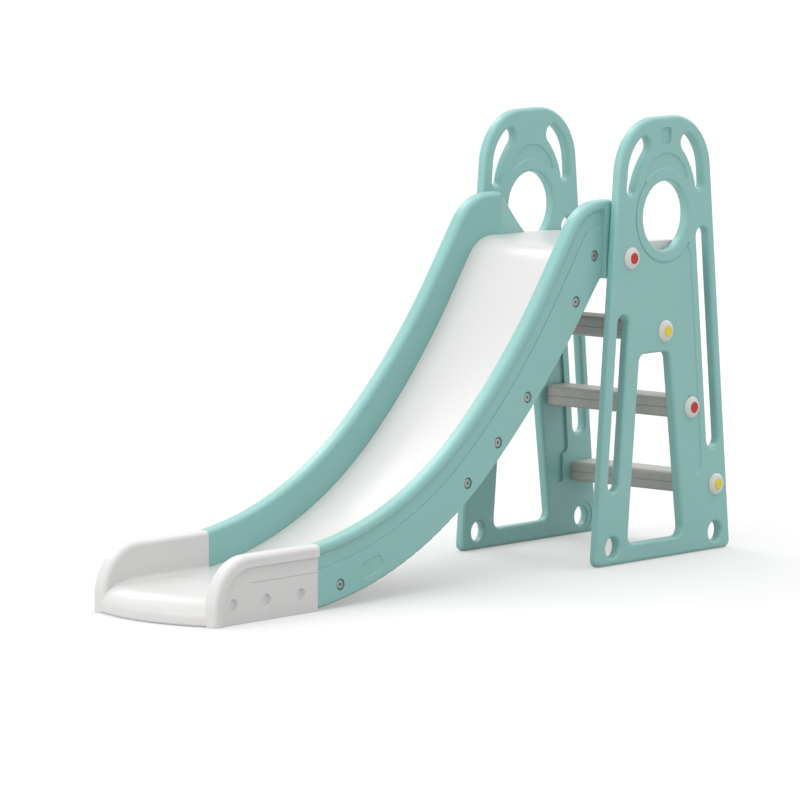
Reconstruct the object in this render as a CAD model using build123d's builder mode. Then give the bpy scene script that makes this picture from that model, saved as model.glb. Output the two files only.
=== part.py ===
"""Toddler slide: two arched side panels, three steps, a chute bed between side rails, and an exit trough."""

import os
from math import asin, atan, cos, degrees, hypot, radians, sin, tan

from build123d import *

os.makedirs("parts", exist_ok=True)

# Overall sizes. +X runs from the exit to the ladder, +Z is up, and the slide stands on Z = 0.
overall_length = 1720.0
overall_height = 1000.0
panel_gap = 371.0
fit_gap = 0.4

# Side panels: an A-frame outline with a flattened arch on top.
panel_thickness = 26.0
base_half = 240.0
crown_half = 151.0
crown_radius = 130.0
foot_radius = 16.0
panel_edge_radius = 9.0
opening_edge_radius = 7.0
porthole_height = 776.0
porthole_radius = 78.0
porthole_ring_radius = 106.0
ring_groove_radius = 2.6
ring_start_angle = 131.0
ring_end_angle = 321.0
crescent_height = 836.0
crescent_radius = 82.0
crescent_tip_radius = 5.0
recess_depth = 3.0
recess_slope = 40.0
foot_hole_out = 183.0
foot_hole_height = 41.0
foot_hole_radius = 23.0
foot_ring_radius = 36.0
long_slot_inset = 44.0
back_slot_heights = (256.0, 721.0)
back_slot_width = 42.0
front_slot_heights = (186.0, 542.0)
front_slot_width = 38.0
arch_corners = ((-89.0, 468.0), (16.0, 468.0), (68.0, 43.0), (-129.0, 43.0))
arch_radius = 20.0
grip_rim = 30.0
grip_bottom_height = 842.0
grip_bottom_width = 28.0
grip_inner_middle = (87.0, 889.0)
grip_inner_top = (60.0, 924.0)
grip_top_middle = (57.0, 945.0)
grip_top_angle = 60.0
grip_corner_radius = 8.0
badge_recess_height = 956.0
badge_recess_size = 38.0
badge_recess_radius = 11.0
badge_recess_depth = 5.0
badge_slope = 20.0
channel_top = (71.5, 682.0)
channel_bottom = (115.0, 199.0)
channel_width = 38.0
channel_inner_bottom = (113.0, 212.0)
channel_tail_height = 145.0
channel_tail_width = 20.0
channel_inner_depth = 6.0
channel_outer_depth = 2.0

# Chute line: its lowest edge leaves the floor on one arc, bends onto a wider one and ends straight and steep.
lower_start_x = -609.0
lower_radius = 1036.0
bend_angle = 40.0
upper_radius = 1791.0
steep_angle = 54.6
chute_half = 145.0
deck_fall = 2.0

# Side rails.
rail_web = 30.0
rail_low_radius = 2300.0
rail_low_angle = 51.5
rail_height = 138.0
rail_top = 820.0
rail_crest_radius = 128.0
rail_foot = 645.0
rail_foot_radius = 12.0
bead_height = 26.0
bead_proud = 6.0
bead_radius = 12.0
web_edge_radius = 5.0
band_height = 84.0
band_depth = 1.5
band_overshoot = 2.0
pad_start = 442.0
ear_bend = 469.0
ear_end = 592.0
ear_end_thickness = 7.0
ear_slope_top = 478.0
ear_slope_middle = (528.0, 762.0)
ear_slope_end_height = 714.0
ear_corner_radius = 18.0
plate_recess_angle = 16.1
plate_recess_offset = 38.0
plate_recess_length = 74.0
plate_recess_width = 36.0
plate_recess_radius = 14.0
plate_recess_depth = 2.0

# Chute bed and deck.
bed_under = 12.0
bed_surface = 58.0
bed_dish = 12.0
bend_dish = 4.0
seam_dish = 1.2
floor_dish = 0.6
bed_crest_radius = 80.0
deck_crest_height = 712.0
deck_end = 732.0
deck_corner_radius = 30.0
deck_roll_radius = 26.0
seam_angle = 11.0
lap_length = 40.0
lap_split = 34.0

# Exit trough.
junction_x = -504.0
trough_half = 144.0
trough_floor_axis = -470.0
trough_nose_radius = 42.0
trough_wall_front = -828.0
trough_wall_corner = 108.0
trough_foot_radius = 6.0
trough_cove = 14.0
cove_taper_start = -735.0
cove_end = -800.0
cove_end_size = 1.0
dimple_spots = (-768.0, -664.0, -557.0)
dimple_height = 42.0
dimple_radius = 13.5
dimple_depth = 6.0
dimple_slope = 25.0
trough_line_start = -717.0
trough_line_size = 1.0

# Steps.
step_depth = 80.0
step_thickness = 46.0
step_edge_radius = 9.0
step_seam = 1.6
step_spots = {"upper_step": (-1.0, 515.0), "middle_step": (94.0, 334.0), "lower_step": (183.0, 150.0)}
deck_bolt_spot = (-122.0, 688.0)

# Fasteners and their caps.
bolt_radius = 4.0
bolt_hole_radius = 4.5
bolt_head_radius = 8.0
bolt_head_height = 4.0
insert_radius = 7.0
insert_length = 26.0
deck_insert_y = 150.0
cap_radius = 25.0
cap_height = 9.0
cap_rim = 2.0
cap_floor = 2.0
cap_pocket_radius = 12.8
plug_radius = 12.4
plug_dome = 1.5
screw_radius = 3.0
screw_head_radius = 10.0
screw_head_height = 5.0
screw_bite = 28.0
screw_spots = ((10.2, 34.0), (36.3, 33.0), (42.1, 30.0), (46.5, 26.0), (54.9, 24.5))
deck_screw_spot = (415.0, 697.0)
screw_recess_radius = 13.0
screw_recess_depth = 6.5

# Worked out from the driving sizes.
leg_taper = (base_half - crown_half) / overall_height
leg_tilt = degrees(atan(leg_taper))
foot_half = base_half + foot_radius * (1 - leg_taper - 1 / cos(radians(leg_tilt)))
tower_x = overall_length / 2 - foot_half
panel_inner_y = panel_gap / 2
crown_z = overall_height - crown_radius
crown_center = (base_half - leg_taper * crown_z - crown_radius / cos(radians(leg_tilt)), crown_z)
rail_outer = chute_half + rail_web
bead_outer = rail_outer + bead_proud
pad_outer = panel_inner_y - 0.5
lower_center = (lower_start_x, lower_radius)
upper_center, rail_low_center = (
    (
        lower_center[0] + (lower_radius - radius) * sin(radians(bend_angle)),
        lower_center[1] - (lower_radius - radius) * cos(radians(bend_angle)),
    )
    for radius in (upper_radius, rail_low_radius)
)
panel_plane = Plane((tower_x, -panel_inner_y, 0), x_dir=(1, 0, 0), z_dir=(0, -1, 0))
panel_face_plane = panel_plane.offset(panel_thickness)
bolt_spots = {**step_spots, "deck": deck_bolt_spot}


def on_lower(offset, angle):
    """Point on the lower arc of the chute, a given distance above its lowest edge."""
    reach = lower_radius - offset
    return (lower_center[0] + reach * sin(radians(angle)), lower_center[1] - reach * cos(radians(angle)))


def on_upper(offset, angle):
    """Point on the upper arc of the chute."""
    reach = upper_radius - offset
    return (upper_center[0] + reach * sin(radians(angle)), upper_center[1] - reach * cos(radians(angle)))


def chute_angle_at(offset, x):
    """Slope angle of the lower arc where it passes a given X."""
    return degrees(asin((x - lower_center[0]) / (lower_radius - offset)))


def crest(offset, radius, height):
    """Tangent point and centre of the arc that rounds the steep run over to a level height."""
    start = on_upper(offset, steep_angle)
    tangent_z = height - radius * (1 - cos(radians(steep_angle)))
    run = (tangent_z - start[1]) / sin(radians(steep_angle))
    tangent = (start[0] + run * cos(radians(steep_angle)), tangent_z)
    return tangent, (tangent[0] + radius * sin(radians(steep_angle)), height - radius)


def chute_arcs(offset, start_angle):
    """Both concave arcs of the chute, for use inside a line builder."""
    CenterArc(lower_center, lower_radius - offset, start_angle - 90, bend_angle - start_angle)
    CenterArc(upper_center, upper_radius - offset, bend_angle - 90, steep_angle - bend_angle)


def crest_path(offset, radius, height, end_x, fall=0.0):
    """Side view of the steep run above the arcs, where it rounds over the top and levels out."""
    tangent, center = crest(offset, radius, height)
    Line(on_upper(offset, steep_angle), tangent)
    CenterArc(center, radius, 90 + steep_angle, -steep_angle - fall)
    level = (center[0] + radius * sin(radians(fall)), center[1] + radius * cos(radians(fall)))
    Line(level, (end_x, level[1] - (end_x - level[0]) * tan(radians(fall))))


def chute_path(offset, start_angle, radius, height, end_x):
    """Whole side view of a line that follows the chute and rounds over the top."""
    chute_arcs(offset, start_angle)
    crest_path(offset, radius, height, end_x)


def leg_x(height, inset):
    """Distance from the panel's middle to a line inset from its sloping edge."""
    return base_half - leg_taper * height - inset / cos(radians(leg_tilt))


def long_slot(side, heights, width):
    """Upright slot parallel to one leg of a panel."""
    ends = [(side * leg_x(height, long_slot_inset), height) for height in heights]
    SlotCenterPoint(
        ((ends[0][0] + ends[1][0]) / 2, (ends[0][1] + ends[1][1]) / 2), ends[1], width
    )


def dish_section(plane, half_width, dish, under, surface, shoulder=0.0):
    """Cross-section of the bed: flat underside, dished top and, on the deck, level shoulders."""
    with BuildSketch(plane) as section:
        with BuildLine():
            wide = half_width + shoulder
            ThreePointArc((-half_width, surface + dish), (0, surface), (half_width, surface + dish))
            if shoulder:
                Line((half_width, surface + dish), (wide, surface + dish))
                Line((-wide, surface + dish), (-half_width, surface + dish))
            Line((wide, surface + dish), (wide, under))
            Line((wide, under), (-wide, under))
            Line((-wide, under), (-wide, surface + dish))
        make_face()
    return section.sketch


def across_chute(angle):
    """Plane square to the chute, with its Y axis along the offset from the lowest edge."""
    foot = on_lower(0, angle) if angle < bend_angle else on_upper(0, angle)
    return Plane(
        (foot[0], 0, foot[1]), x_dir=(0, 1, 0), z_dir=(cos(radians(angle)), 0, sin(radians(angle)))
    )


def cove_section(side, x, size):
    """Cross-section of the hollow corner where the trough's floor turns up into a wall."""
    foot = (side * (trough_half - size), bed_surface)
    head = (side * trough_half, bed_surface + size)
    hollow = size * (1 - cos(radians(45)))
    with BuildSketch(Plane.YZ.offset(x)) as section:
        with BuildLine():
            ThreePointArc(foot, (side * (trough_half - hollow), bed_surface + hollow), head)
            Polyline(
                head,
                (side * rail_outer, bed_surface + size),
                (side * rail_outer, bed_surface - trough_cove),
                (foot[0], bed_surface - trough_cove),
                foot,
            )
        make_face()
    return section.sketch


def rail_screw_spots():
    """Places of the rail screws in side view, from the exit up to the deck."""
    spots = []
    for angle, offset in screw_spots:
        spots.append(on_lower(offset, angle) if angle < bend_angle else on_upper(offset, angle))
    return spots + [deck_screw_spot]


# Right side panel, seen on the near side of the slide.
with BuildPart() as right_side_panel:
    with BuildSketch(panel_plane) as outline:
        with BuildLine():
            Polyline(
                (-base_half, 0),
                (base_half, 0),
                (crown_half, overall_height),
                (-crown_half, overall_height),
                close=True,
            )
        make_face()
        fillet(outline.vertices().group_by(Axis.Y)[-1], crown_radius)
        fillet(outline.vertices().group_by(Axis.Y)[0], foot_radius)
    extrude(amount=panel_thickness)

    with BuildSketch(panel_plane) as openings:
        with BuildLine():
            Polyline(*arch_corners, close=True)
        make_face()
        fillet(openings.vertices(), arch_radius)
        with Locations((0, porthole_height)):
            Circle(porthole_radius)
        with Locations((-foot_hole_out, foot_hole_height), (foot_hole_out, foot_hole_height)):
            Circle(foot_hole_radius)
        long_slot(1, back_slot_heights, back_slot_width)
        long_slot(-1, front_slot_heights, front_slot_width)
    extrude(amount=panel_thickness, mode=Mode.SUBTRACT)

    # Leaf-shaped hand grips under the arch: the outer edge runs round with the crown.
    with BuildSketch(panel_plane) as grips:
        grip_radius = crown_radius - grip_rim
        grip_outer_bottom = (leg_x(grip_bottom_height, grip_rim), grip_bottom_height)
        grip_inner_bottom = (grip_outer_bottom[0] - grip_bottom_width, grip_bottom_height)
        with BuildLine():
            rim = CenterArc(crown_center, grip_radius, leg_tilt, grip_top_angle - leg_tilt)
            Line(rim @ 0, grip_outer_bottom)
            TangentArc(grip_outer_bottom, grip_inner_bottom, tangent=(leg_taper, -1))
            ThreePointArc(grip_inner_bottom, grip_inner_middle, grip_inner_top)
            ThreePointArc(grip_inner_top, grip_top_middle, rim @ 1)
        make_face()
        fillet(grips.vertices().sort_by(Axis.X)[0], grip_corner_radius)
        fillet(grips.vertices().sort_by(Axis.Y)[-1], grip_corner_radius)
        mirror(about=Plane.YZ)
    extrude(amount=panel_thickness, mode=Mode.SUBTRACT)

    for end in (0, -1):
        side_face = right_side_panel.faces().sort_by(Axis.Y)[end]
        fillet(side_face.outer_wire().edges(), panel_edge_radius)
    for end in (0, -1):
        side_face = right_side_panel.faces().sort_by(Axis.Y)[end]
        opening_edges = [edge for wire in side_face.inner_wires() for edge in wire.edges()]
        fillet(opening_edges, opening_edge_radius)

    # Crescents with sloping sides above the porthole, on both faces.
    for face_plane, depth in ((panel_plane, recess_depth), (panel_face_plane, -recess_depth)):
        with BuildSketch(face_plane) as crescent:
            with Locations((0, crescent_height)):
                Circle(crescent_radius)
            with Locations((0, porthole_height)):
                Circle(porthole_ring_radius, mode=Mode.SUBTRACT)
            fillet(crescent.vertices(), crescent_tip_radius)
        extrude(amount=depth, taper=recess_slope, mode=Mode.SUBTRACT)

    # Outer face only: a round groove from the crescent to the channel, and the bare badge recess.
    porthole_axis = Axis((tower_x, -panel_inner_y, porthole_height), (0, -1, 0))
    ring_start = radians(ring_start_angle)
    ring_x = porthole_ring_radius * cos(ring_start)
    ring_z = porthole_height + porthole_ring_radius * sin(ring_start)
    ring_plane = Plane(
        panel_face_plane.from_local_coords(Vector(ring_x, ring_z)),
        x_dir=(cos(ring_start), 0, sin(ring_start)),
        z_dir=(-sin(ring_start), 0, cos(ring_start)),
    )
    with BuildSketch(ring_plane):
        Circle(ring_groove_radius)
    revolve(axis=porthole_axis, revolution_arc=ring_end_angle - ring_start_angle, mode=Mode.SUBTRACT)
    with BuildSketch(panel_face_plane):
        with Locations((0, badge_recess_height)):
            RectangleRounded(badge_recess_size, badge_recess_size, badge_recess_radius)
    extrude(amount=-badge_recess_depth, taper=badge_slope, mode=Mode.SUBTRACT)

    # Stiffening channel beside the steps: shallow outside, deeper inside and with a narrower tail.
    with BuildSketch(panel_face_plane):
        channel_middle = tuple((a + b) / 2 for a, b in zip(channel_top, channel_bottom))
        SlotCenterPoint(channel_middle, channel_top, channel_width)
    extrude(amount=-channel_outer_depth, taper=recess_slope, mode=Mode.SUBTRACT)
    with BuildSketch(panel_plane):
        channel_middle = tuple((a + b) / 2 for a, b in zip(channel_top, channel_inner_bottom))
        SlotCenterPoint(channel_middle, channel_top, channel_width)
        tail_length = channel_inner_bottom[1] - channel_tail_height + channel_width
        tail_x = channel_inner_bottom[0] - (channel_width - channel_tail_width) / 2
        with Locations((tail_x, (channel_inner_bottom[1] + channel_tail_height) / 2)):
            SlotOverall(tail_length, channel_tail_width, rotation=90)
    extrude(amount=channel_inner_depth, mode=Mode.SUBTRACT)

    # Shallow ring round the back foot hole on the inner face.
    with BuildSketch(panel_plane):
        with Locations((foot_hole_out, foot_hole_height)):
            Circle(foot_ring_radius)
    extrude(amount=recess_depth / 2, mode=Mode.SUBTRACT)

    with BuildSketch(panel_plane):
        with Locations(*bolt_spots.values()):
            Circle(bolt_hole_radius)
    extrude(amount=panel_thickness, mode=Mode.SUBTRACT)

with BuildPart() as left_side_panel:
    mirror(right_side_panel.part, about=Plane.XZ)

# Steps: rounded bars with a moulding seam round the middle and a socket in each end.
steps = {}
for step_name, (step_x, step_z) in step_spots.items():
    with BuildPart() as step:
        step_end = panel_inner_y - fit_gap
        with BuildSketch(Plane((tower_x + step_x, 0, step_z), x_dir=(1, 0, 0), z_dir=(0, -1, 0))):
            RectangleRounded(step_depth, step_thickness, step_edge_radius)
            with Locations((-step_depth / 2, 0), (step_depth / 2, 0)):
                Rectangle(step_seam * 2, step_seam, mode=Mode.SUBTRACT)
        extrude(amount=step_end, both=True)
        for side in (1, -1):
            with BuildSketch(Plane((tower_x + step_x, side * step_end, step_z), z_dir=(0, -side, 0))):
                Circle(insert_radius + fit_gap)
            extrude(amount=insert_length, mode=Mode.SUBTRACT)
    steps[step_name] = step

# Right rail: a web that follows the chute, a rolled bead on top and a flared ear at the tower.
with BuildPart() as right_rail:
    low_end = (
        rail_low_center[0] + rail_low_radius * sin(radians(rail_low_angle)),
        rail_low_center[1] - rail_low_radius * cos(radians(rail_low_angle)),
    )
    foot_run = (rail_foot - low_end[1]) / tan(radians(rail_low_angle))
    foot_corner = (low_end[0] + foot_run, rail_foot)
    web_height = rail_height - bead_height / 2
    web_crest_radius = rail_crest_radius - bead_height / 2
    web_top = rail_top - bead_height / 2
    low_start = on_lower(0, chute_angle_at(0, junction_x))
    top_start = on_lower(web_height, chute_angle_at(web_height, junction_x))
    web_tangent, web_center = crest(web_height, web_crest_radius, web_top)
    with BuildSketch(Plane.XZ.offset(chute_half)) as web:
        with BuildLine():
            low_angle = chute_angle_at(0, junction_x)
            CenterArc(lower_center, lower_radius, low_angle - 90, bend_angle - low_angle)
            CenterArc(rail_low_center, rail_low_radius, bend_angle - 90, rail_low_angle - bend_angle)
            Line(low_end, foot_corner)
            Line(foot_corner, (ear_end, rail_foot))
            Line((ear_end, rail_foot), (ear_end, ear_slope_end_height))
            ThreePointArc((ear_end, ear_slope_end_height), ear_slope_middle, (ear_slope_top, web_top))
            Line((ear_slope_top, web_top), (web_center[0], web_top))
            CenterArc(web_center, web_crest_radius, 90, steep_angle)
            Line(web_tangent, on_upper(web_height, steep_angle))
            chute_arcs(web_height, chute_angle_at(web_height, junction_x))
            Line(low_start, top_start)
        make_face()
        fillet(web.vertices().sort_by_distance(foot_corner)[0], rail_foot_radius)
        fillet(web.vertices().sort_by_distance((ear_end, ear_slope_end_height))[0], ear_corner_radius)
    extrude(amount=rail_web)
    low_edges = []
    for edge in right_rail.edges():
        middle = edge @ 0.5
        for center, radius in ((lower_center, lower_radius), (rail_low_center, rail_low_radius)):
            if abs(hypot(middle.X - center[0], middle.Z - center[1]) - radius) < 0.1:
                low_edges.append(edge)
    fillet(low_edges, web_edge_radius)

    # The ear is thicker outside, where it meets the panel, and flares away inside.
    with BuildSketch(Plane.XZ.offset(rail_outer)) as pad:
        with BuildLine():
            ThreePointArc((ear_end, ear_slope_end_height), ear_slope_middle, (ear_slope_top, web_top))
            Polyline(
                (ear_slope_top, web_top),
                (pad_start, web_top),
                (pad_start, rail_foot),
                (ear_end, rail_foot),
                (ear_end, ear_slope_end_height),
            )
        make_face()
        fillet(pad.vertices().sort_by_distance((ear_end, ear_slope_end_height))[0], ear_corner_radius)
    extrude(amount=pad_outer - rail_outer)
    with BuildSketch(Plane.XY.offset(rail_foot)):
        with BuildLine():
            Polyline(
                (ear_bend, -chute_half),
                (ear_end, ear_end_thickness - pad_outer),
                (ear_end, -chute_half),
                close=True,
            )
        make_face()
    extrude(amount=rail_top - rail_foot, mode=Mode.SUBTRACT)

    # Shallow band under the bead, down to a parting line.
    with BuildSketch(Plane.XZ.offset(rail_outer)):
        with BuildLine():
            band_starts = []
            band_ends = []
            for offset in (band_height, web_height + band_overshoot):
                start_angle = chute_angle_at(offset, junction_x)
                level = rail_top - rail_height + offset
                chute_path(offset, start_angle, rail_crest_radius - rail_height + offset, level, pad_start)
                band_starts.append(on_lower(offset, start_angle))
                band_ends.append((pad_start, level))
            Line(*band_starts)
            Line(*band_ends)
        make_face()
    extrude(amount=-band_depth, mode=Mode.SUBTRACT)

    # Rolled bead along the top.
    bead_middle = rail_height - bead_height / 2
    bead_start = chute_angle_at(bead_middle, junction_x)
    bead_foot = on_lower(bead_middle, bead_start)
    with BuildLine(Plane.XZ):
        chute_path(bead_middle, bead_start, web_crest_radius, web_top, ear_bend)
    with BuildSketch(
        Plane(
            (bead_foot[0], -(chute_half + bead_outer) / 2, bead_foot[1]),
            x_dir=(0, 1, 0),
            z_dir=(cos(radians(bead_start)), 0, sin(radians(bead_start))),
        )
    ):
        RectangleRounded(bead_outer - chute_half, bead_height, bead_radius)
    sweep()

    # Bare plate recess near the exit.
    plate_spot = on_lower(plate_recess_offset, plate_recess_angle)
    with BuildSketch(Plane((plate_spot[0], -rail_outer, plate_spot[1]), x_dir=(1, 0, 0), z_dir=(0, -1, 0))):
        RectangleRounded(
            plate_recess_length, plate_recess_width, plate_recess_radius, rotation=plate_recess_angle
        )
    extrude(amount=-plate_recess_depth, taper=recess_slope, mode=Mode.SUBTRACT)

    # Screw recesses and clearance holes, and the hole for the deck bolt.
    with BuildSketch(Plane.XZ.offset(rail_outer)):
        with Locations(*rail_screw_spots()):
            Circle(screw_recess_radius)
    extrude(amount=-screw_recess_depth, mode=Mode.SUBTRACT)
    with BuildSketch(Plane.XZ.offset(chute_half)):
        with Locations(*rail_screw_spots()):
            Circle(screw_radius + fit_gap)
    extrude(amount=rail_web, mode=Mode.SUBTRACT)
    with BuildSketch(Plane.XZ.offset(chute_half)):
        with Locations((tower_x + deck_bolt_spot[0], deck_bolt_spot[1])):
            Circle(bolt_hole_radius)
    extrude(amount=pad_outer - chute_half, mode=Mode.SUBTRACT)
    split(bisect_by=Plane.YZ.offset(junction_x + fit_gap), keep=Keep.TOP)

with BuildPart() as left_rail:
    mirror(right_rail.part, about=Plane.XZ)

# Deck between the panels: the bed's section with level shoulders that fill out behind the rails' ears.
bed_half = chute_half - fit_gap
deck_half = panel_inner_y - fit_gap
bed_center = crest(bed_surface, bed_crest_radius, deck_crest_height)[1]
deck_start_x = bed_center[0] + bed_crest_radius * sin(radians(deck_fall))
deck_start_z = bed_center[1] + bed_crest_radius * cos(radians(deck_fall))
deck_bend_z = deck_start_z - (ear_bend - deck_start_x) * tan(radians(deck_fall))
deck_low_x = ear_bend - bed_surface * sin(radians(deck_fall))
deck_low_z = deck_bend_z - bed_surface * cos(radians(deck_fall))
deck_plane = Plane(
    (deck_low_x, 0, deck_low_z),
    x_dir=(0, 1, 0),
    z_dir=(cos(radians(deck_fall)), 0, -sin(radians(deck_fall))),
)
deck_length = (deck_end - ear_bend) / cos(radians(deck_fall))
with BuildPart() as deck:
    add(dish_section(deck_plane, bed_half, bed_dish, bed_under, bed_surface, deck_half - bed_half))
    extrude(amount=deck_length, dir=deck_plane.z_dir)
    with BuildSketch(Plane.XY) as deck_plan:
        flare_end = pad_outer - ear_end_thickness - fit_gap
        with BuildLine():
            Polyline(
                (ear_bend - deck_length, -bed_half),
                (ear_bend, -bed_half),
                (ear_end + fit_gap, -flare_end),
                (ear_end + fit_gap, -deck_half),
                (deck_end, -deck_half),
                (deck_end, deck_half),
                (ear_end + fit_gap, deck_half),
                (ear_end + fit_gap, flare_end),
                (ear_bend, bed_half),
                (ear_bend - deck_length, bed_half),
                close=True,
            )
        make_face()
        fillet(deck_plan.vertices().group_by(Axis.X)[-1], deck_corner_radius)
    extrude(amount=overall_height, mode=Mode.INTERSECT)

    # Back edge rolled over for the climber's hands and feet.
    with BuildSketch(Plane(deck_plane.origin, x_dir=deck_plane.z_dir, z_dir=(0, -1, 0))) as roll:
        roll_height = bed_surface + bed_dish + 1
        with Locations((-deck_roll_radius / 2, roll_height / 2)):
            Rectangle(deck_length * 2 + deck_roll_radius - 4, roll_height)
        fillet(roll.vertices().group_by(Axis.X)[-1].sort_by(Axis.Y)[-1], deck_roll_radius)
    extrude(amount=panel_gap, both=True, mode=Mode.INTERSECT)

# Chute bed: its section gets deeper dished on the way up from the seam with the exit trough to the deck.
seam_gap = degrees(fit_gap / (lower_radius - bed_surface))
bed_start = seam_angle + seam_gap
bed_runs = (
    (lower_center, lower_radius, (bed_start, seam_dish), (bend_angle, bend_dish)),
    (upper_center, upper_radius, (bend_angle, bend_dish), (steep_angle, bed_dish)),
)
with BuildPart() as slide_bed:
    for center, radius, (run_start, start_dish), (run_end, end_dish) in bed_runs:
        with BuildLine(Plane.XZ):
            CenterArc(center, radius - bed_surface, run_start - 90, run_end - run_start)
        add(dish_section(across_chute(run_start), bed_half, start_dish, bed_under, bed_surface))
        add(dish_section(across_chute(run_end), bed_half, end_dish, bed_under, bed_surface))
        sweep(multisection=True)
    with BuildLine(Plane.XZ):
        crest_path(bed_surface, bed_crest_radius, deck_crest_height, ear_bend, deck_fall)
    add(dish_section(across_chute(steep_angle), bed_half, bed_dish, bed_under, bed_surface))
    sweep()
    add(deck.part)

    # Underside cut back at the seam for the trough's lap.
    with BuildSketch(across_chute(seam_angle)):
        with Locations((0, (lap_split + fit_gap) / 2)):
            Rectangle(chute_half * 2, lap_split + fit_gap)
    extrude(amount=lap_length + fit_gap, mode=Mode.SUBTRACT)
    for side in (1, -1):
        with BuildSketch(Plane.XZ.offset(side * bed_half)):
            with Locations(*rail_screw_spots()[1:]):
                Circle(screw_radius + fit_gap)
        extrude(amount=-side * screw_bite, mode=Mode.SUBTRACT)
        with BuildSketch(Plane.XZ.offset(side * panel_inner_y)):
            with Locations((tower_x + deck_bolt_spot[0], deck_bolt_spot[1])):
                Circle(insert_radius + fit_gap)
        extrude(amount=-side * (panel_inner_y - deck_insert_y + insert_length), mode=Mode.SUBTRACT)

# One wall of the exit trough, with a raised rim along its top and down its front.
with BuildPart() as trough_wall:
    wall_end = junction_x
    wall_top = on_lower(rail_height, chute_angle_at(rail_height, junction_x))[1]
    for inset, reach in ((0, bead_outer), (bead_height, rail_outer)):
        with BuildSketch(Plane.XZ.offset(trough_half)) as wall:
            wall_length = wall_end - trough_wall_front - inset
            with Locations((wall_end - wall_length / 2, (wall_top - inset) / 2)):
                Rectangle(wall_length, wall_top - inset)
            front = wall.vertices().group_by(Axis.X)[0].sort_by(Axis.Y)
            fillet(front[-1], trough_wall_corner - inset)
        if inset:
            extrude(amount=bead_outer - trough_half, mode=Mode.SUBTRACT)
            add(wall.sketch)
            extrude(amount=reach - trough_half, dir=(0, -1, 0))
        else:
            extrude(amount=reach - trough_half)
    for end in (0, -1):
        wall_face = trough_wall.faces().sort_by(Axis.Y)[end]
        rim_edges = [
            edge
            for edge in wall_face.edges()
            if (edge @ 0.5).Z > wall_top - 0.1
            or (edge @ 0.5).X < trough_wall_front + 0.1
            or (edge.geom_type == GeomType.CIRCLE and edge.radius > trough_wall_corner - 0.1)
        ]
        fillet(rim_edges, bead_radius)

# Exit trough: a floor with a bowed, rounded nose, the two walls, and a tongue that runs up between the rails.
with BuildPart() as exit_trough:
    floor_reach = overall_length / 2 + trough_floor_axis
    with BuildSketch(Plane((trough_floor_axis, 0, 0), x_dir=(1, 0, 0), z_dir=(0, -1, 0))) as nose:
        with Locations((-floor_reach / 2, bed_surface / 2)):
            Rectangle(floor_reach, bed_surface)
        fillet(nose.vertices().group_by(Axis.X)[0].sort_by(Axis.Y)[-1], trough_nose_radius)
        fillet(nose.vertices().group_by(Axis.X)[0].sort_by(Axis.Y)[0], trough_foot_radius)
    revolve(axis=Axis((trough_floor_axis, 0, 0), (0, 0, 1)))
    with BuildSketch(Plane.XY):
        with Locations((junction_x - overall_length / 2, 0)):
            Rectangle(overall_length, rail_outer * 2)
    extrude(amount=overall_height, mode=Mode.INTERSECT)
    add(trough_wall.part)
    add(mirror(trough_wall.part, about=Plane.XZ, mode=Mode.PRIVATE))
    for side in (1, -1):
        add(cove_section(side, junction_x, trough_cove))
        add(cove_section(side, cove_taper_start, trough_cove))
        add(cove_section(side, cove_end, cove_end_size))
        loft(ruled=True)

    # The tongue starts level with the floor and takes on the bed's dish by the time it reaches the seam.
    with BuildLine(Plane.XZ):
        CenterArc(lower_center, lower_radius - bed_surface, -90, seam_angle)
    add(dish_section(across_chute(0), bed_half, floor_dish, bed_under, bed_surface))
    add(dish_section(across_chute(seam_angle), bed_half, seam_dish, bed_under, bed_surface))
    sweep(multisection=True)
    with BuildSketch(across_chute(seam_angle)):
        with Locations((0, (lap_split + bed_under) / 2)):
            Rectangle(bed_half * 2, lap_split - bed_under)
    extrude(amount=lap_length)

    for side in (1, -1):
        outside = Plane.XZ.offset(side * rail_outer)
        with BuildSketch(outside):
            with Locations(*[(spot, dimple_height) for spot in dimple_spots]):
                Circle(dimple_radius)
        extrude(amount=-side * dimple_depth, taper=dimple_slope, mode=Mode.SUBTRACT)
        with BuildSketch(outside):
            with Locations(((trough_line_start + junction_x) / 2, band_height)):
                Rectangle(junction_x - trough_line_start, trough_line_size)
        extrude(amount=-side * trough_line_size, mode=Mode.SUBTRACT)
        with BuildSketch(Plane.XZ.offset(side * bed_half)):
            with Locations(rail_screw_spots()[0]):
                Circle(screw_radius + fit_gap)
        extrude(amount=-side * screw_bite, mode=Mode.SUBTRACT)


def outward(spot, side, depth):
    """Plane facing out of one side of the tower at a bolt."""
    return Plane((tower_x + spot[0], -side * depth, spot[1]), x_dir=(1, 0, 0), z_dir=(0, -side, 0))


def rod(plane, radius, length):
    """Round bar standing on a plane, or hanging below it when the length is negative."""
    with BuildSketch(plane) as end:
        Circle(radius)
    return extrude(end.sketch, amount=length, dir=plane.z_dir, mode=Mode.PRIVATE)


# Bolts clamp the caps, panels and steps; the two deck bolts also pass through the rails' ears.
sides = {"right": 1, "left": -1}
panel_outer_y = panel_inner_y + panel_thickness
head_seat_y = panel_outer_y + cap_floor
step_tip_y = panel_inner_y - insert_length
deck_tip_y = deck_insert_y - insert_length
with BuildPart() as step_bolts:
    for side in sides.values():
        for spot in step_spots.values():
            seat = outward(spot, side, head_seat_y)
            add(rod(seat, bolt_head_radius, bolt_head_height))
            add(rod(seat, bolt_radius, step_tip_y + 2 - head_seat_y))

with BuildPart() as deck_bolts:
    for side in sides.values():
        seat = outward(deck_bolt_spot, side, head_seat_y)
        add(rod(seat, bolt_head_radius, bolt_head_height))
        add(rod(seat, bolt_radius, deck_tip_y + 2 - head_seat_y))

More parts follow.
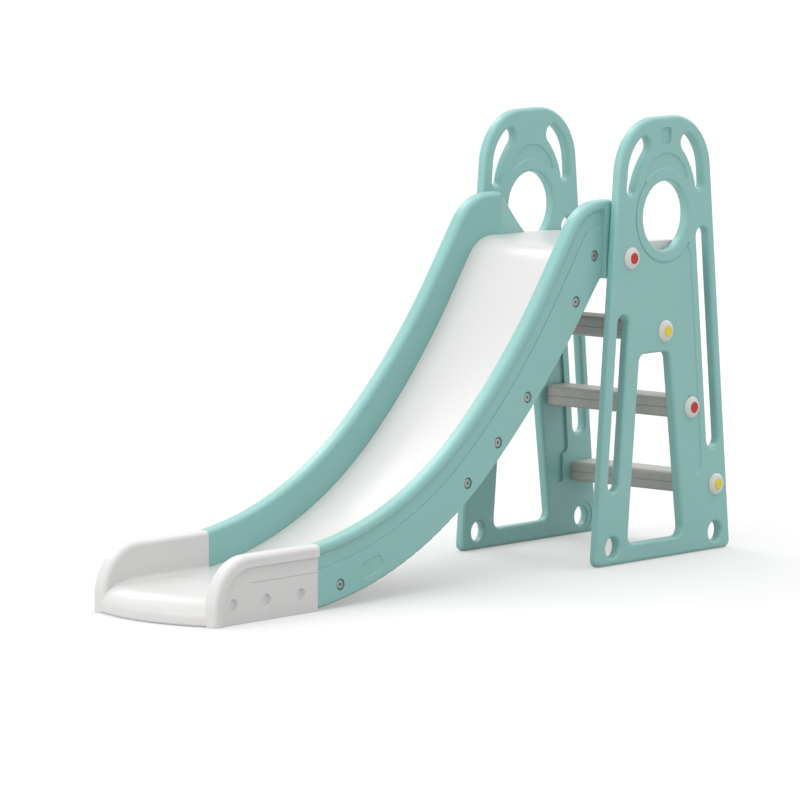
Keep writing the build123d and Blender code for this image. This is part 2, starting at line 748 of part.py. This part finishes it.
# Threaded inserts: plain sleeves in the step ends and in the sides of the deck.
with BuildPart() as step_inserts:
    for side in sides.values():
        for spot in step_spots.values():
            mouth = outward(spot, side, panel_inner_y - fit_gap)
            add(rod(mouth, insert_radius, -insert_length))
            add(rod(mouth, bolt_hole_radius, -insert_length), mode=Mode.SUBTRACT)

with BuildPart() as deck_inserts:
    for side in sides.values():
        mouth = outward(deck_bolt_spot, side, deck_insert_y)
        add(rod(mouth, insert_radius, -insert_length))
        add(rod(mouth, bolt_hole_radius, -insert_length), mode=Mode.SUBTRACT)

# Pan-head screws through the rails into the bed, with the last one of each rail in the trough's tongue.
rail_screws = {}
for side_name, side in sides.items():
    with BuildPart() as screws:
        for spot in rail_screw_spots():
            seat = outward((spot[0] - tower_x, spot[1]), side, rail_outer - screw_recess_depth)
            add(rod(seat, screw_head_radius, screw_head_height))
            add(rod(seat, screw_radius, bed_half - screw_bite + 1 - rail_outer + screw_recess_depth))
    rail_screws[f"{side_name}_rail_screws"] = screws

# Bolt caps: a domed ring held down by the bolt head, and a coloured plug pressed in over the head.
caps = {}
for side_name, side in sides.items():
    for spot_name, spot in bolt_spots.items():
        foot = outward(spot, side, panel_outer_y)
        section_plane = Plane(foot.origin, x_dir=(1, 0, 0), z_dir=(0, 0, -side))
        axis = Axis(foot.origin, foot.z_dir)
        with BuildPart() as cap:
            with BuildSketch(section_plane):
                with BuildLine():
                    Polyline(
                        (cap_radius, cap_rim),
                        (cap_radius, 0),
                        (bolt_hole_radius, 0),
                        (bolt_hole_radius, cap_floor),
                        (cap_pocket_radius, cap_floor),
                        (cap_pocket_radius, cap_height),
                    )
                    ThreePointArc(
                        (cap_pocket_radius, cap_height),
                        (cap_pocket_radius + (cap_radius - cap_pocket_radius) * 0.6, cap_height * 0.75),
                        (cap_radius, cap_rim),
                    )
                make_face()
            revolve(axis=axis)
        caps[f"{side_name}_{spot_name}_cap"] = cap
        with BuildPart() as plug:
            plug_foot = cap_floor + bolt_head_height
            add(rod(foot.offset(plug_foot), plug_radius, cap_height + plug_dome - plug_foot))
            fillet(plug.faces().sort_by(axis)[-1].edges(), plug_dome)
        caps[f"{side_name}_{spot_name}_plug"] = plug

pieces = {
    "right_side_panel": right_side_panel,
    "left_side_panel": left_side_panel,
    "right_rail": right_rail,
    "left_rail": left_rail,
    "slide_bed": slide_bed,
    "exit_trough": exit_trough,
    **steps,
    "step_bolts": step_bolts,
    "deck_bolts": deck_bolts,
    "step_inserts": step_inserts,
    "deck_inserts": deck_inserts,
    **rail_screws,
    **caps,
}
for piece_name, piece in pieces.items():
    piece.part.label = piece_name
    export_step(piece.part, f"parts/{piece_name}.step")
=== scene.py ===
"""Toddler slide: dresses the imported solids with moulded-plastic finishes, socket screws and a white studio."""

import math

import bmesh
import bpy
from bpy.props import FloatProperty, FloatVectorProperty, PointerProperty
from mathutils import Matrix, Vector


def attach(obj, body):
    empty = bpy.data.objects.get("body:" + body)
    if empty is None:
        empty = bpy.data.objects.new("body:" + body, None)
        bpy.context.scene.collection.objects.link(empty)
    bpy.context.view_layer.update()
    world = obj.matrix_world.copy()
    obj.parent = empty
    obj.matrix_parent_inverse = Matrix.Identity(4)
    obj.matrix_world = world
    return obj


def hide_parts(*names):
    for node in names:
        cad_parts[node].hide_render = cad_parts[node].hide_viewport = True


bl_info = {
    "name": "Toddler Slide",
    "version": (1, 0, 0),
    "blender": (4, 5, 0),
    "location": "View3D > Sidebar > Slide",
    "description": "Moulded toddler slide with steps, railed chute and exit trough",
    "category": "Object",
}

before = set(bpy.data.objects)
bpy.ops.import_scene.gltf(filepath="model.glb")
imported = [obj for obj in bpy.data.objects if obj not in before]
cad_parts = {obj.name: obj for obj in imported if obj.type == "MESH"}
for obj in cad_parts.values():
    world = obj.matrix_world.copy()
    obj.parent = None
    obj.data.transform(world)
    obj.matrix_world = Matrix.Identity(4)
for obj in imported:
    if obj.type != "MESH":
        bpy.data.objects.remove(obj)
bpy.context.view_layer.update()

MM = 0.001

# Skins: points closer than this are one point, and faces that turn less than this are one face.
SAME_POINT = 1e-6
NO_LENGTH = 1e-7
SAME_PLANE = math.radians(0.1)

# An edge that turns further than this stays crisp, and between two large faces already at a smaller turn.
CRISP_TURN = math.radians(32)
LARGE_FACE_TURN = math.radians(5)
LARGE_FACE = 6000 * MM * MM

# Settings of a mix node that blends colours: input 0 is its factor, 6 and 7 are its colours, output 2 is the result.
COLOUR_MIX = {"data_type": "RGBA"}


def linear(code):
    """Scene-linear colour, with alpha, from an sRGB hex code."""
    code = code.lstrip("#")
    parts = [int(code[i:i + 2], 16) / 255 for i in (0, 2, 4)]
    return tuple(c / 12.92 if c <= 0.04045 else ((c + 0.055) / 1.055) ** 2.4 for c in parts) + (1.0,)


def varied(colour, darker, lighter):
    """A darker and a lighter tone of a colour, between which a moulding clouds."""
    return [tuple(min(c * share, 1) for c in colour[:3]) + (1,) for share in (darker, lighter)]


def node(tree, kind, settings=None, **sockets):
    """Adds a node, applies its settings, and sets or links its input sockets (a name, or i_ and a number)."""
    made = tree.nodes.new(kind)
    for key, value in (settings or {}).items():
        setattr(made, key, value)
    for key, value in sockets.items():
        socket = made.inputs[int(key[2:])] if key.startswith("i_") else made.inputs[key.replace("_", " ")]
        if isinstance(value, bpy.types.NodeSocket):
            tree.links.new(value, socket)
        else:
            socket.default_value = value
    return made


def new_material(name):
    """Empty node material; returns the material and its tree."""
    material = bpy.data.materials.new(name)
    material.use_nodes = True
    material.node_tree.nodes.clear()
    return material, material.node_tree


class SlideColours(bpy.types.PropertyGroup):
    """Colours of the mouldings."""

    teal: FloatVectorProperty(name="Panels and Rails", description="Colour of the side panels and rails",
                              subtype="COLOR", size=4, default=linear("#88B9B4"))
    white: FloatVectorProperty(name="Bed and Trough", description="Colour of the slide bed and the exit trough",
                               subtype="COLOR", size=4, default=linear("#D3D2D1"))
    grey: FloatVectorProperty(name="Steps", description="Colour of the steps",
                              subtype="COLOR", size=4, default=linear("#B2B0AB"))
    cap: FloatVectorProperty(name="Caps", description="Colour of the bolt caps",
                             subtype="COLOR", size=4, default=linear("#D1D1CB"))
    red: FloatVectorProperty(name="Red Plugs", description="Colour of the deck and middle step plugs",
                             subtype="COLOR", size=4, default=linear("#BE1B1E"))
    yellow: FloatVectorProperty(name="Yellow Plugs", description="Colour of the upper and lower step plugs",
                                subtype="COLOR", size=4, default=linear("#DDCD2E"))


class SlideSizes(bpy.types.PropertyGroup):
    """Sizes of the surface detail and of the screws."""

    grain: FloatProperty(name="Mould grain", description="Grain of the moulded surface",
                         default=1.6 * MM, unit="LENGTH")
    ripple: FloatProperty(name="Ripple", description="Slow waviness of a blown wall",
                          default=60 * MM, unit="LENGTH")
    edge: FloatProperty(name="Edge softness", description="Rounding of small moulded edges",
                        default=0.8 * MM, unit="LENGTH")
    tread: FloatProperty(name="Tread grain", description="Grip grain on the steps",
                         default=3.0 * MM, unit="LENGTH")
    head: FloatProperty(name="Screw head", description="Radius of a rail screw's head",
                        default=10.0 * MM, unit="LENGTH")
    head_height: FloatProperty(name="Head height", description="Height of a head",
                               default=5.0 * MM, unit="LENGTH")
    socket: FloatProperty(name="Socket", description="Radius of the hexagon in a head",
                          default=3.6 * MM, unit="LENGTH")
    socket_depth: FloatProperty(name="Socket depth", description="Depth of the hexagon",
                                default=3.0 * MM, unit="LENGTH")
    shank: FloatProperty(name="Shank", description="Radius of a screw's shank",
                         default=2.5 * MM, unit="LENGTH")


def moulded_teal(look, sizes):
    """Blow-moulded polyethylene, coloured in the mass: satin, with a fine mould grain and slightly wavy walls."""
    material, tree = new_material("moulded_polyethylene_teal")
    place = node(tree, "ShaderNodeTexCoord").outputs["Object"]
    dark, light = varied(look.teal, 0.96, 1.04)
    cloud = node(tree, "ShaderNodeTexNoise", Vector=place, Scale=1 / (sizes.ripple * 2), Detail=3.0)
    shade = node(tree, "ShaderNodeMix", COLOUR_MIX, i_0=cloud.outputs["Fac"], i_6=dark, i_7=light)
    gloss = node(tree, "ShaderNodeMapRange", Value=cloud.outputs["Fac"], i_1=0.3, i_2=0.7, i_3=0.3, i_4=0.38)
    soft = node(tree, "ShaderNodeBevel", {"samples": 6}, Radius=sizes.edge)
    wave = node(tree, "ShaderNodeTexNoise", Vector=place, Scale=1 / sizes.ripple, Detail=1.0)
    wavy = node(tree, "ShaderNodeBump", Strength=0.25, Distance=0.6 * MM, Height=wave.outputs["Fac"],
                Normal=soft.outputs["Normal"])
    # The real grain is a few tenths of a millimetre, too fine for the picture, so it is drawn coarser.
    grain = node(tree, "ShaderNodeTexNoise", Vector=place, Scale=1 / sizes.grain, Detail=2.0)
    fine = node(tree, "ShaderNodeBump", Strength=0.12, Distance=0.08 * MM, Height=grain.outputs["Fac"],
                Normal=wavy.outputs["Normal"])
    shader = node(tree, "ShaderNodeBsdfPrincipled", Base_Color=shade.outputs[2], Roughness=gloss.outputs[0],
                  Normal=fine.outputs["Normal"], IOR=1.5)
    node(tree, "ShaderNodeOutputMaterial", Surface=shader.outputs["BSDF"])
    return material


def moulded_white(look, sizes):
    """Blow-moulded polyethylene, white: no grain, soft highlights, and slow waves drawn out along the chute."""
    material, tree = new_material("moulded_polyethylene_white")
    place = node(tree, "ShaderNodeTexCoord").outputs["Object"]
    dark, light = varied(look.white, 0.985, 1.01)
    cloud = node(tree, "ShaderNodeTexNoise", Vector=place, Scale=1 / (sizes.ripple * 2), Detail=3.0)
    shade = node(tree, "ShaderNodeMix", COLOUR_MIX, i_0=cloud.outputs["Fac"], i_6=dark, i_7=light)
    gloss = node(tree, "ShaderNodeMapRange", Value=cloud.outputs["Fac"], i_1=0.3, i_2=0.7, i_3=0.29, i_4=0.36)
    soft = node(tree, "ShaderNodeBevel", {"samples": 6}, Radius=sizes.edge)
    # The chute runs in X and Z, so the waves are about three times as long that way as across.
    drawn = node(tree, "ShaderNodeMapping", Vector=place, Scale=(0.35, 1.0, 0.35))
    wave = node(tree, "ShaderNodeTexNoise", Vector=drawn.outputs[0], Scale=0.6 / sizes.ripple, Detail=0.0)
    wavy = node(tree, "ShaderNodeBump", Strength=0.8, Distance=3.0 * MM, Height=wave.outputs["Fac"],
                Normal=soft.outputs["Normal"])
    shader = node(tree, "ShaderNodeBsdfPrincipled", Base_Color=shade.outputs[2], Roughness=gloss.outputs[0],
                  Normal=wavy.outputs["Normal"], IOR=1.5)
    node(tree, "ShaderNodeOutputMaterial", Surface=shader.outputs["BSDF"])
    return material


def moulded_grey(look, sizes):
    """Injection-moulded polypropylene steps: matt grey with a coarse grip grain."""
    material, tree = new_material("moulded_polypropylene_grey")
    place = node(tree, "ShaderNodeTexCoord").outputs["Object"]
    dark, light = varied(look.grey, 0.9, 1.1)
    cloud = node(tree, "ShaderNodeTexNoise", Vector=place, Scale=1 / (sizes.tread * 6), Detail=4.0)
    shade = node(tree, "ShaderNodeMix", COLOUR_MIX, i_0=cloud.outputs["Fac"], i_6=dark, i_7=light)
    pits = node(tree, "ShaderNodeTexVoronoi", Vector=place, Scale=1 / sizes.tread)
    soft = node(tree, "ShaderNodeBevel", {"samples": 6}, Radius=sizes.edge)
    rough = node(tree, "ShaderNodeBump", Strength=0.35, Distance=0.3 * MM, Height=pits.outputs["Distance"],
                 Normal=soft.outputs["Normal"])
    shader = node(tree, "ShaderNodeBsdfPrincipled", Base_Color=shade.outputs[2], Roughness=0.5,
                  Normal=rough.outputs["Normal"], IOR=1.49)
    node(tree, "ShaderNodeOutputMaterial", Surface=shader.outputs["BSDF"])
    return material


def gloss_plastic(name, colour):
    """Injection-moulded ABS trim: hard and glossy, with a trace of flow marks."""
    material, tree = new_material(name)
    place = node(tree, "ShaderNodeTexCoord").outputs["Object"]
    dark, light = varied(colour, 0.95, 1.04)
    flow = node(tree, "ShaderNodeTexNoise", Vector=place, Scale=1 / (8 * MM), Detail=2.0)
    shade = node(tree, "ShaderNodeMix", COLOUR_MIX, i_0=flow.outputs["Fac"], i_6=dark, i_7=light)
    soft = node(tree, "ShaderNodeBevel", {"samples": 4}, Radius=0.6 * MM)
    shader = node(tree, "ShaderNodeBsdfPrincipled", Base_Color=shade.outputs[2], Roughness=0.22,
                  Normal=soft.outputs["Normal"], Specular_IOR_Level=0.35, IOR=1.54)
    node(tree, "ShaderNodeOutputMaterial", Surface=shader.outputs["BSDF"])
    return material


def zinc_steel():
    """Zinc-plated steel fasteners: bright grey with a faint crystalline mottle."""
    material, tree = new_material("zinc_plated_steel")
    place = node(tree, "ShaderNodeTexCoord").outputs["Object"]
    mottle = node(tree, "ShaderNodeTexNoise", Vector=place, Scale=1 / (1.5 * MM), Detail=3.0)
    shade = node(tree, "ShaderNodeMix", COLOUR_MIX, i_0=mottle.outputs["Fac"],
                 i_6=linear("#868B8A"), i_7=linear("#A8ADAB"))
    gloss = node(tree, "ShaderNodeMapRange", Value=mottle.outputs["Fac"], i_1=0.3, i_2=0.7, i_3=0.42, i_4=0.56)
    shader = node(tree, "ShaderNodeBsdfPrincipled", Base_Color=shade.outputs[2], Roughness=gloss.outputs[0],
                  Metallic=1.0)
    node(tree, "ShaderNodeOutputMaterial", Surface=shader.outputs["BSDF"])
    return material


def use(name, maker, *args):
    """The named material, made on first use."""
    return bpy.data.materials.get(name) or maker(*args)


def smooth_skin(node_name, material):
    """Shows a solid through a merged copy of its mesh, shaded smooth with its flat faces kept flat."""
    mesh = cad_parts[node_name].data.copy()
    work = bmesh.new()
    work.from_mesh(mesh)
    bmesh.ops.remove_doubles(work, verts=work.verts, dist=SAME_POINT)
    bmesh.ops.dissolve_degenerate(work, dist=NO_LENGTH, edges=work.edges)
    bmesh.ops.dissolve_limit(work, angle_limit=SAME_PLANE, verts=work.verts, edges=work.edges)
    area = {face: face.calc_area() for face in work.faces}
    for face in work.faces:
        face.smooth = True
    for edge in work.edges:
        between_large = min(area[face] for face in edge.link_faces) > LARGE_FACE
        edge.smooth = edge.calc_face_angle(0) < (LARGE_FACE_TURN if between_large else CRISP_TURN)
    work.to_mesh(mesh)
    work.free()
    piece = bpy.data.objects.new(node_name + "_skin", mesh)
    bpy.context.scene.collection.objects.link(piece)
    weigh = piece.modifiers.new("flat faces", "WEIGHTED_NORMAL")
    weigh.mode = "FACE_AREA"
    weigh.keep_sharp = True
    finish_piece(piece, node_name, material)


def finish_piece(piece, node_name, material):
    """Turns a piece and its modifier into a plain mesh that stands for a CAD node."""
    graph = bpy.context.evaluated_depsgraph_get()
    done = bpy.data.meshes.new_from_object(piece.evaluated_get(graph))
    piece.modifiers.clear()
    spent, piece.data = piece.data, done
    bpy.data.meshes.remove(spent)
    done.name = piece.name
    done.materials.clear()
    done.materials.append(material)
    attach(piece, "root")
    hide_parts(node_name)


def solid_boxes(node_name):
    """Lowest and highest corner of every separate solid in a CAD node."""
    work = bmesh.new()
    work.from_mesh(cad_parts[node_name].data)
    bmesh.ops.remove_doubles(work, verts=work.verts, dist=SAME_POINT)
    left = set(work.verts)
    boxes = []
    while left:
        group = [left.pop()]
        for vert in group:
            for edge in vert.link_edges:
                other = edge.other_vert(vert)
                if other in left:
                    left.discard(other)
                    group.append(other)
        boxes.append([[pick(vert.co[i] for vert in group) for i in range(3)] for pick in (min, max)])
    work.free()
    return sorted(boxes)


def pan_screw(sizes, length):
    """Mesh of one screw on its seat: a low dome with a rounded rim and a hexagon socket, and the shank below."""
    edge, tall, hexagon = sizes.head, sizes.head_height, sizes.socket
    # The head's outline from its seat to its top, as shares of its height and of its radius.
    outline = [(0.0, 1.0), (0.66, 1.0), (0.79, 0.985), (0.89, 0.95), (0.95, 0.9), (0.985, 0.82), (1.0, 0.7)]
    # Rings from the shank's tip to the socket's floor: radius, height, and whether the ring has six sides.
    rings = [(sizes.shank, tall - length, False), (sizes.shank, 0.0, False), (edge * 0.97, 0.0, False)]
    rings += [(edge * out, tall * up, False) for up, out in outline]
    rings += [(hexagon * 1.25, tall, False),
              (hexagon, tall - 0.25 * MM, True),
              (hexagon * 0.96, tall - sizes.socket_depth, True)]
    count = 48
    places, faces = [], []
    for radius, height, six_sided in rings:
        for k in range(count):
            turn = math.tau * k / count
            reach = radius
            if six_sided:
                reach *= math.cos(math.pi / 6) / math.cos(turn % (math.pi / 3) - math.pi / 6)
            places.append((reach * math.cos(turn), reach * math.sin(turn), height))
    for ring in range(len(rings) - 1):
        low, high = ring * count, (ring + 1) * count
        for k in range(count):
            side = (k + 1) % count
            faces.append((low + k, low + side, high + side, high + k))
    faces.append(tuple(reversed(range(count))))
    faces.append(tuple(range(len(places) - count, len(places))))
    mesh = bpy.data.meshes.new("pan_screw")
    mesh.from_pydata(places, [], faces)
    mesh.shade_smooth()
    mesh.set_sharp_from_angle(angle=math.radians(40))
    return mesh


def screw_tree():
    """Geometry Nodes tree: a screw on every point, facing out of the rail and turned as its last twist left it."""
    tree = bpy.data.node_groups.new("rail_screw_set", "GeometryNodeTree")
    for name, kind in (("Points", "Geometry"), ("Screw", "Object"), ("Material", "Material"), ("Facing", "Float"),
                       ("Twist", "Float"), ("Seed", "Int")):
        tree.interface.new_socket(name, in_out="INPUT", socket_type="NodeSocket" + kind)
    tree.interface.new_socket("Screws", in_out="OUTPUT", socket_type="NodeSocketGeometry")
    given = node(tree, "NodeGroupInput").outputs
    screw = node(tree, "GeometryNodeObjectInfo", Object=given["Screw"]).outputs["Geometry"]
    tilt = node(tree, "ShaderNodeCombineXYZ", X=given["Facing"]).outputs[0]
    placed = node(tree, "GeometryNodeInstanceOnPoints", Points=given["Points"], Instance=screw, Rotation=tilt)
    share = node(tree, "FunctionNodeRandomValue", {"data_type": "FLOAT"}, Seed=given["Seed"]).outputs[1]
    angle = node(tree, "ShaderNodeMath", {"operation": "MULTIPLY"}, i_0=share, i_1=given["Twist"]).outputs[0]
    twist = node(tree, "ShaderNodeCombineXYZ", Z=angle).outputs[0]
    turned = node(tree, "GeometryNodeRotateInstances", Instances=placed.outputs[0], Rotation=twist,
                  Local_Space=True)
    real = node(tree, "GeometryNodeRealizeInstances", Geometry=turned.outputs[0])
    dressed = node(tree, "GeometryNodeSetMaterial", Geometry=real.outputs[0], Material=given["Material"])
    node(tree, "NodeGroupOutput", i_0=dressed.outputs[0])
    return tree


class SLIDE_OT_teal(bpy.types.Operator):
    """Finish the side panels and the rails."""

    bl_idname = "slide.teal_mouldings"
    bl_label = "Panels and Rails"

    def execute(self, context):
        look, sizes = context.scene.slide_colours, context.scene.slide_sizes
        teal = use("moulded_polyethylene_teal", moulded_teal, look, sizes)
        for name in ("right_side_panel", "left_side_panel", "right_rail", "left_rail"):
            smooth_skin(name, teal)
        return {"FINISHED"}


class SLIDE_OT_white(bpy.types.Operator):
    """Finish the slide bed and the exit trough."""

    bl_idname = "slide.white_mouldings"
    bl_label = "Bed and Trough"

    def execute(self, context):
        look, sizes = context.scene.slide_colours, context.scene.slide_sizes
        white = use("moulded_polyethylene_white", moulded_white, look, sizes)
        for name in ("slide_bed", "exit_trough"):
            smooth_skin(name, white)
        return {"FINISHED"}


class SLIDE_OT_steps(bpy.types.Operator):
    """Finish the steps."""

    bl_idname = "slide.steps"
    bl_label = "Steps"

    def execute(self, context):
        look, sizes = context.scene.slide_colours, context.scene.slide_sizes
        grey = use("moulded_polypropylene_grey", moulded_grey, look, sizes)
        for name in ("upper_step", "middle_step", "lower_step"):
            smooth_skin(name, grey)
        return {"FINISHED"}


class SLIDE_OT_caps(bpy.types.Operator):
    """Finish the bolt caps and their coloured plugs."""

    bl_idname = "slide.bolt_caps"
    bl_label = "Bolt Caps"

    def execute(self, context):
        look = context.scene.slide_colours
        cap, red, yellow = (use(name, gloss_plastic, name, colour) for name, colour in (
            ("moulded_abs_white", look.cap), ("moulded_abs_red", look.red), ("moulded_abs_yellow", look.yellow)))
        for side in ("right", "left"):
            for spot, plug, slot in (("deck", red, "red_plastic"), ("upper_step", yellow, "yellow_plastic"),
                                     ("middle_step", red, "red_plastic"), ("lower_step", yellow, "yellow_plastic")):
                smooth_skin(f"{side}_{spot}_cap", cap)
                smooth_skin(f"{side}_{spot}_plug", plug)
        return {"FINISHED"}


class SLIDE_OT_fasteners(bpy.types.Operator):
    """Finish the bolts and the inserts, which sit inside the mouldings."""

    bl_idname = "slide.fasteners"
    bl_label = "Bolts and Inserts"

    def execute(self, context):
        zinc = use("zinc_plated_steel", zinc_steel)
        for name, slot in (("step_bolts", "zinc_steel"), ("deck_bolts", "zinc_steel"),
                           ("step_inserts", "insert_steel"), ("deck_inserts", "insert_steel")):
            smooth_skin(name, zinc)
        return {"FINISHED"}


class SLIDE_OT_screws(bpy.types.Operator):
    """Make the socket screws along both rails."""

    bl_idname = "slide.rail_screws"
    bl_label = "Rail Screws"

    def execute(self, context):
        sizes = context.scene.slide_sizes
        zinc = use("zinc_plated_steel", zinc_steel)
        tree = screw_tree()
        inputs = {item.name: item.identifier for item in tree.interface.items_tree if item.in_out == "INPUT"}
        for name, outward in (("right_rail_screws", -1), ("left_rail_screws", 1)):
            boxes = solid_boxes(name)
            length = boxes[0][1][1] - boxes[0][0][1]
            screw = bpy.data.objects.new("pan_screw", pan_screw(sizes, length))
            seats = []
            for low, high in boxes:
                top = high[1] if outward > 0 else low[1]
                seats.append(((low[0] + high[0]) / 2, top - outward * sizes.head_height, (low[2] + high[2]) / 2))
            mesh = bpy.data.meshes.new(name + "_points")
            mesh.from_pydata(seats, [], [])
            piece = bpy.data.objects.new(name + "_set", mesh)
            context.scene.collection.objects.link(piece)
            made = piece.modifiers.new("screws", "NODES")
            made.node_group = tree
            for key, value in (("Screw", screw), ("Material", zinc), ("Facing", -outward * math.pi / 2),
                               ("Twist", math.tau / 6), ("Seed", 4)):
                made[inputs[key]] = value
            finish_piece(piece, name, zinc)
            bpy.data.objects.remove(screw)
        return {"FINISHED"}


# The studio floor: half its side, how far it lies below the object's feet, and the glow that only the camera sees,
# so that it reads white around the object's shadow.
FLOOR_REACH = 40
FLOOR_DROP = 0.0004
FLOOR_GLOW = 0.32

# Strength of the studio's fill light, and of the white that the camera sees behind the object.
FILL_LIGHT = 0.68
BACKDROP = 1.0

# The suns: name, strength, spread in degrees, and the way the light travels.
LAMPS = (
    ("left_back_diffuser", 0.5, 60, (0.8, -0.5, -0.4)),
    ("left_front_diffuser", 0.34, 60, (0.8, 0.45, -0.4)),
    ("left_low_diffuser", 0.65, 40, (0.95, -0.1, -0.25)),
    ("right_diffuser", 0.7, 60, (-0.75, 0, -0.66)),
    ("back_diffuser", 0.55, 24, (-0.15, -0.72, -0.66)),
    ("top_diffuser", 1.0, 60, (0, -0.05, -1)),
    ("front_diffuser", 0.27, 60, (-0.55, 0.8, -0.25)),
)

# The camera as fitted to the photograph: the point it looks at, its bearing, height angle and distance from there,
# and its focal length in pixels of a picture of that width.
CAMERA_TARGET = (-0.0423, 0.0, 0.4001)
CAMERA_AROUND = math.radians(-48.466)
CAMERA_ABOVE = math.radians(6.664)
CAMERA_AWAY = 13.9368
FOCAL_PIXELS = 6337.5
PICTURE_WIDTH = 800
SENSOR_WIDTH = 36


def seen_directly(tree):
    """1 for what the camera sees, also in a reflection or through glass, and 0 for light on its way."""
    larger = {"operation": "MAXIMUM"}
    ray = node(tree, "ShaderNodeLightPath").outputs
    seen = node(tree, "ShaderNodeMath", larger, i_0=ray["Is Camera Ray"], i_1=ray["Is Glossy Ray"])
    seen = node(tree, "ShaderNodeMath", larger, i_0=seen.outputs[0], i_1=ray["Is Transmission Ray"])
    return seen.outputs[0]


class SLIDE_OT_stage(bpy.types.Operator):
    """Set up the floor, the light and the camera."""

    bl_idname = "slide.stage"
    bl_label = "Stage"

    def execute(self, context):
        scene = context.scene
        scene.view_settings.view_transform = "Standard"

        mesh = bpy.data.meshes.new("studio_floor")
        corners = [(x * FLOOR_REACH, y * FLOOR_REACH, 0) for x, y in ((-1, -1), (1, -1), (1, 1), (-1, 1))]
        mesh.from_pydata(corners, [], [(0, 1, 2, 3)])
        floor = bpy.data.objects.new("studio_floor", mesh)
        floor.location.z = -FLOOR_DROP
        scene.collection.objects.link(floor)
        material, tree = new_material("white_studio_floor")
        glow = node(tree, "ShaderNodeMath", {"operation": "MULTIPLY"}, i_0=seen_directly(tree), i_1=FLOOR_GLOW)
        shader = node(tree, "ShaderNodeBsdfPrincipled", Base_Color=linear("#BCBCBC"), Roughness=0.9,
                      Specular_IOR_Level=0.1, Emission_Color=(1, 1, 1, 1), Emission_Strength=glow.outputs[0])
        node(tree, "ShaderNodeOutputMaterial", Surface=shader.outputs["BSDF"])
        mesh.materials.append(material)

        world = bpy.data.worlds.new("white_studio")
        scene.world = world
        world.use_nodes = True
        tree = world.node_tree
        tree.nodes.clear()
        level = node(tree, "ShaderNodeMapRange", Value=seen_directly(tree), i_3=FILL_LIGHT, i_4=BACKDROP)
        back = node(tree, "ShaderNodeBackground", Color=(1, 1, 1, 1), Strength=level.outputs[0])
        node(tree, "ShaderNodeOutputWorld", Surface=back.outputs[0])

        for name, power, spread, heading in LAMPS:
            sun = bpy.data.lights.new(name, "SUN")
            sun.energy = power
            sun.angle = math.radians(spread)
            lamp = bpy.data.objects.new(name, sun)
            lamp.rotation_euler = Vector(heading).to_track_quat("-Z", "Y").to_euler()
            scene.collection.objects.link(lamp)

        lens = bpy.data.cameras.new("photo_camera")
        lens.lens = FOCAL_PIXELS / PICTURE_WIDTH * SENSOR_WIDTH
        lens.sensor_width = SENSOR_WIDTH
        lens.clip_end = 200
        camera = bpy.data.objects.new("photo_camera", lens)
        target = Vector(CAMERA_TARGET)
        bearing = Vector((math.sin(CAMERA_AROUND) * math.cos(CAMERA_ABOVE),
                          -math.cos(CAMERA_AROUND) * math.cos(CAMERA_ABOVE), math.sin(CAMERA_ABOVE)))
        camera.location = target + CAMERA_AWAY * bearing
        camera.rotation_euler = (target - camera.location).to_track_quat("-Z", "Y").to_euler()
        scene.collection.objects.link(camera)
        scene.camera = camera
        return {"FINISHED"}


class SLIDE_PT_panel(bpy.types.Panel):
    """Lists the slide's colours, sizes and operators."""

    bl_idname = "SLIDE_PT_panel"
    bl_label = "Toddler Slide"
    bl_space_type = "VIEW_3D"
    bl_region_type = "UI"
    bl_category = "Slide"

    def draw(self, context):
        for group in (context.scene.slide_colours, context.scene.slide_sizes):
            for key in group.__annotations__:
                self.layout.prop(group, key)
        for made in OPERATORS:
            self.layout.operator(made.bl_idname)


OPERATORS = (SLIDE_OT_teal, SLIDE_OT_white, SLIDE_OT_steps, SLIDE_OT_caps, SLIDE_OT_fasteners, SLIDE_OT_screws,
             SLIDE_OT_stage)
CLASSES = (SlideColours, SlideSizes) + OPERATORS + (SLIDE_PT_panel,)


def register():
    for made in CLASSES:
        bpy.utils.register_class(made)
    bpy.types.Scene.slide_colours = PointerProperty(type=SlideColours)
    bpy.types.Scene.slide_sizes = PointerProperty(type=SlideSizes)


def unregister():
    del bpy.types.Scene.slide_sizes
    del bpy.types.Scene.slide_colours
    for made in reversed(CLASSES):
        bpy.utils.unregister_class(made)


def main():
    register()
    bpy.ops.slide.teal_mouldings()
    bpy.ops.slide.white_mouldings()
    bpy.ops.slide.steps()
    bpy.ops.slide.bolt_caps()
    bpy.ops.slide.fasteners()
    bpy.ops.slide.rail_screws()
    bpy.ops.slide.stage()


if __name__ == "__main__":
    main()
